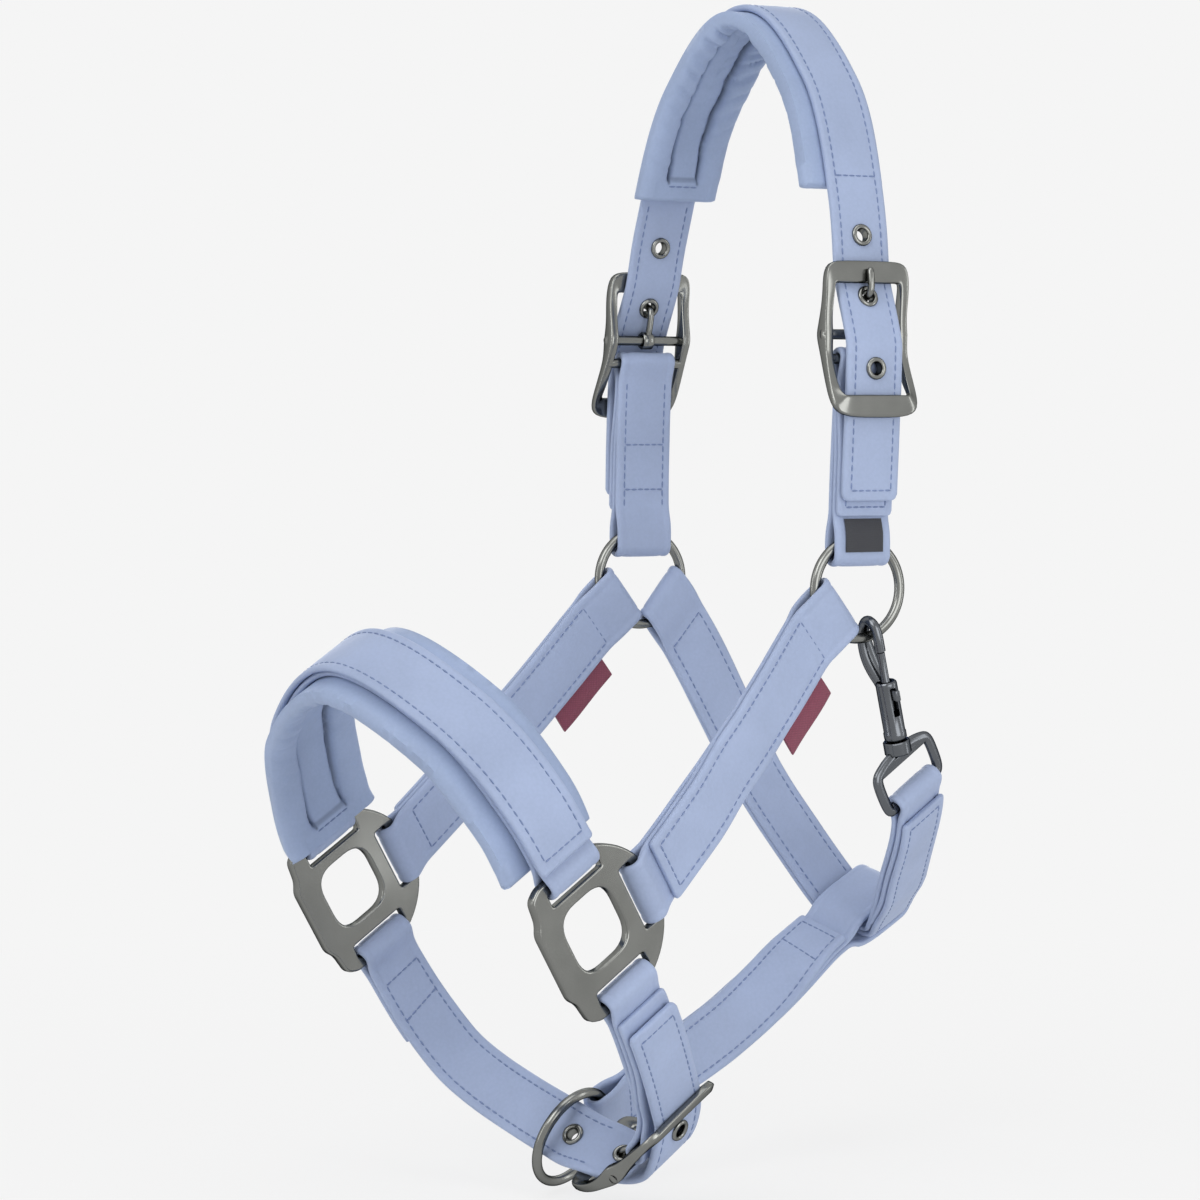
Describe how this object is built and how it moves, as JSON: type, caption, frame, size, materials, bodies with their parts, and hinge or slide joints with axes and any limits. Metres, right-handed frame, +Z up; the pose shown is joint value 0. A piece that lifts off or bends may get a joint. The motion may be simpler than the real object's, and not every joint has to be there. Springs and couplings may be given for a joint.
{
  "type": "head halter",
  "caption": "Padded headcollar for a horse: crown, cheek, nose, chin and throat straps joined by rings, side plates, buckles and a spring snap.",
  "frame": {"origin": "middle of the crown pad's underside, where it sits on the poll of the head", "axes": "+Z up, -Y towards the nose, +X towards the wearer's left"},
  "size_m": [0.1633, 0.2948, 0.4669],
  "materials": {
    "strap": "matt, fine grain",
    "pad": "matt, soft",
    "hardware": "satin gunmetal",
    "tab": "woven",
    "label": "woven"
  },
  "bodies": {
    "halter": {"back_strap": "strap", "cheek_chape_left": "strap", "cheek_chape_right": "strap", "cheek_strap_left": "strap", "cheek_strap_right": "strap", "chin_buckle": "hardware", "chin_chape": "strap", "chin_eyelet_1": "hardware", "chin_eyelet_2": "hardware", "chin_eyelet_3": "hardware", "chin_strap": "strap", "crown_buckle_left": "hardware", "crown_buckle_right": "hardware", "crown_eyelet_left_1": "hardware", "crown_eyelet_left_2": "hardware", "crown_eyelet_left_3": "hardware", "crown_eyelet_right_1": "hardware", "crown_eyelet_right_2": "hardware", "crown_eyelet_right_3": "hardware", "crown_pad": "pad", "crown_strap": "strap", "noseband_facing": "strap", "noseband_pad": "pad", "noseband_strap": "strap", "side_plate_left": "hardware", "side_plate_right": "hardware", "side_tab_left": "tab", "side_tab_right": "tab", "size_label": "label", "snap_eye": "hardware", "throat_strap": "strap"},
    "left_ring": {"upper_ring_left": "hardware"},
    "right_ring": {"upper_ring_right": "hardware"},
    "tie_ring": {"lead_ring": "hardware"},
    "left_prong": {"crown_prong_left": "hardware"},
    "right_prong": {"crown_prong_right": "hardware"},
    "buckle_prong": {"chin_prong": "hardware"},
    "snap": {"snap_body": "hardware"},
    "bolt": {"snap_bolt": "hardware"}
  },
  "joints": [
    {"name": "left_ring_spin", "type": "hinge", "parent": "halter", "child": "left_ring", "pos_m": [0.065, -0.011, -0.221], "axis": [0.9781, -0.2079, 0], "continuous": true},
    {"name": "right_ring_spin", "type": "hinge", "parent": "halter", "child": "right_ring", "pos_m": [-0.065, -0.011, -0.221], "axis": [0.9781, -0.2079, 0], "continuous": true},
    {"name": "lead_ring_spin", "type": "hinge", "parent": "halter", "child": "tie_ring", "pos_m": [-0.00331, -0.09927, -0.43583], "axis": [0.9187, 0.1703, -0.3564], "continuous": true},
    {"name": "left_prong_lift", "type": "hinge", "parent": "halter", "child": "left_prong", "pos_m": [0.065, -0.008, -0.122], "axis": [0.2079, 0.9781, 0], "range_deg": [0, 6]},
    {"name": "right_prong_lift", "type": "hinge", "parent": "halter", "child": "right_prong", "pos_m": [-0.065, -0.008, -0.122], "axis": [-0.2079, -0.9781, 0], "range_deg": [0, 6]},
    {"name": "chin_prong_lift", "type": "hinge", "parent": "halter", "child": "buckle_prong", "pos_m": [0.04314, -0.1005, -0.4322], "axis": [0, -0.8572, -0.515], "range_deg": [0, 6]},
    {"name": "snap_swivel", "type": "hinge", "parent": "halter", "child": "snap", "pos_m": [0.06985, 0.00563, -0.28025], "axis": [-0.04, 0.2798, -0.9592], "range_deg": [-10, 10]},
    {"name": "snap_bolt_slide", "type": "slide", "parent": "snap", "child": "bolt", "axis": [-0.04, 0.2798, -0.9592], "range_m": [0, 0.006], "stiffness_N_per_m": 900, "springref_m": -0.004}
  ]
}
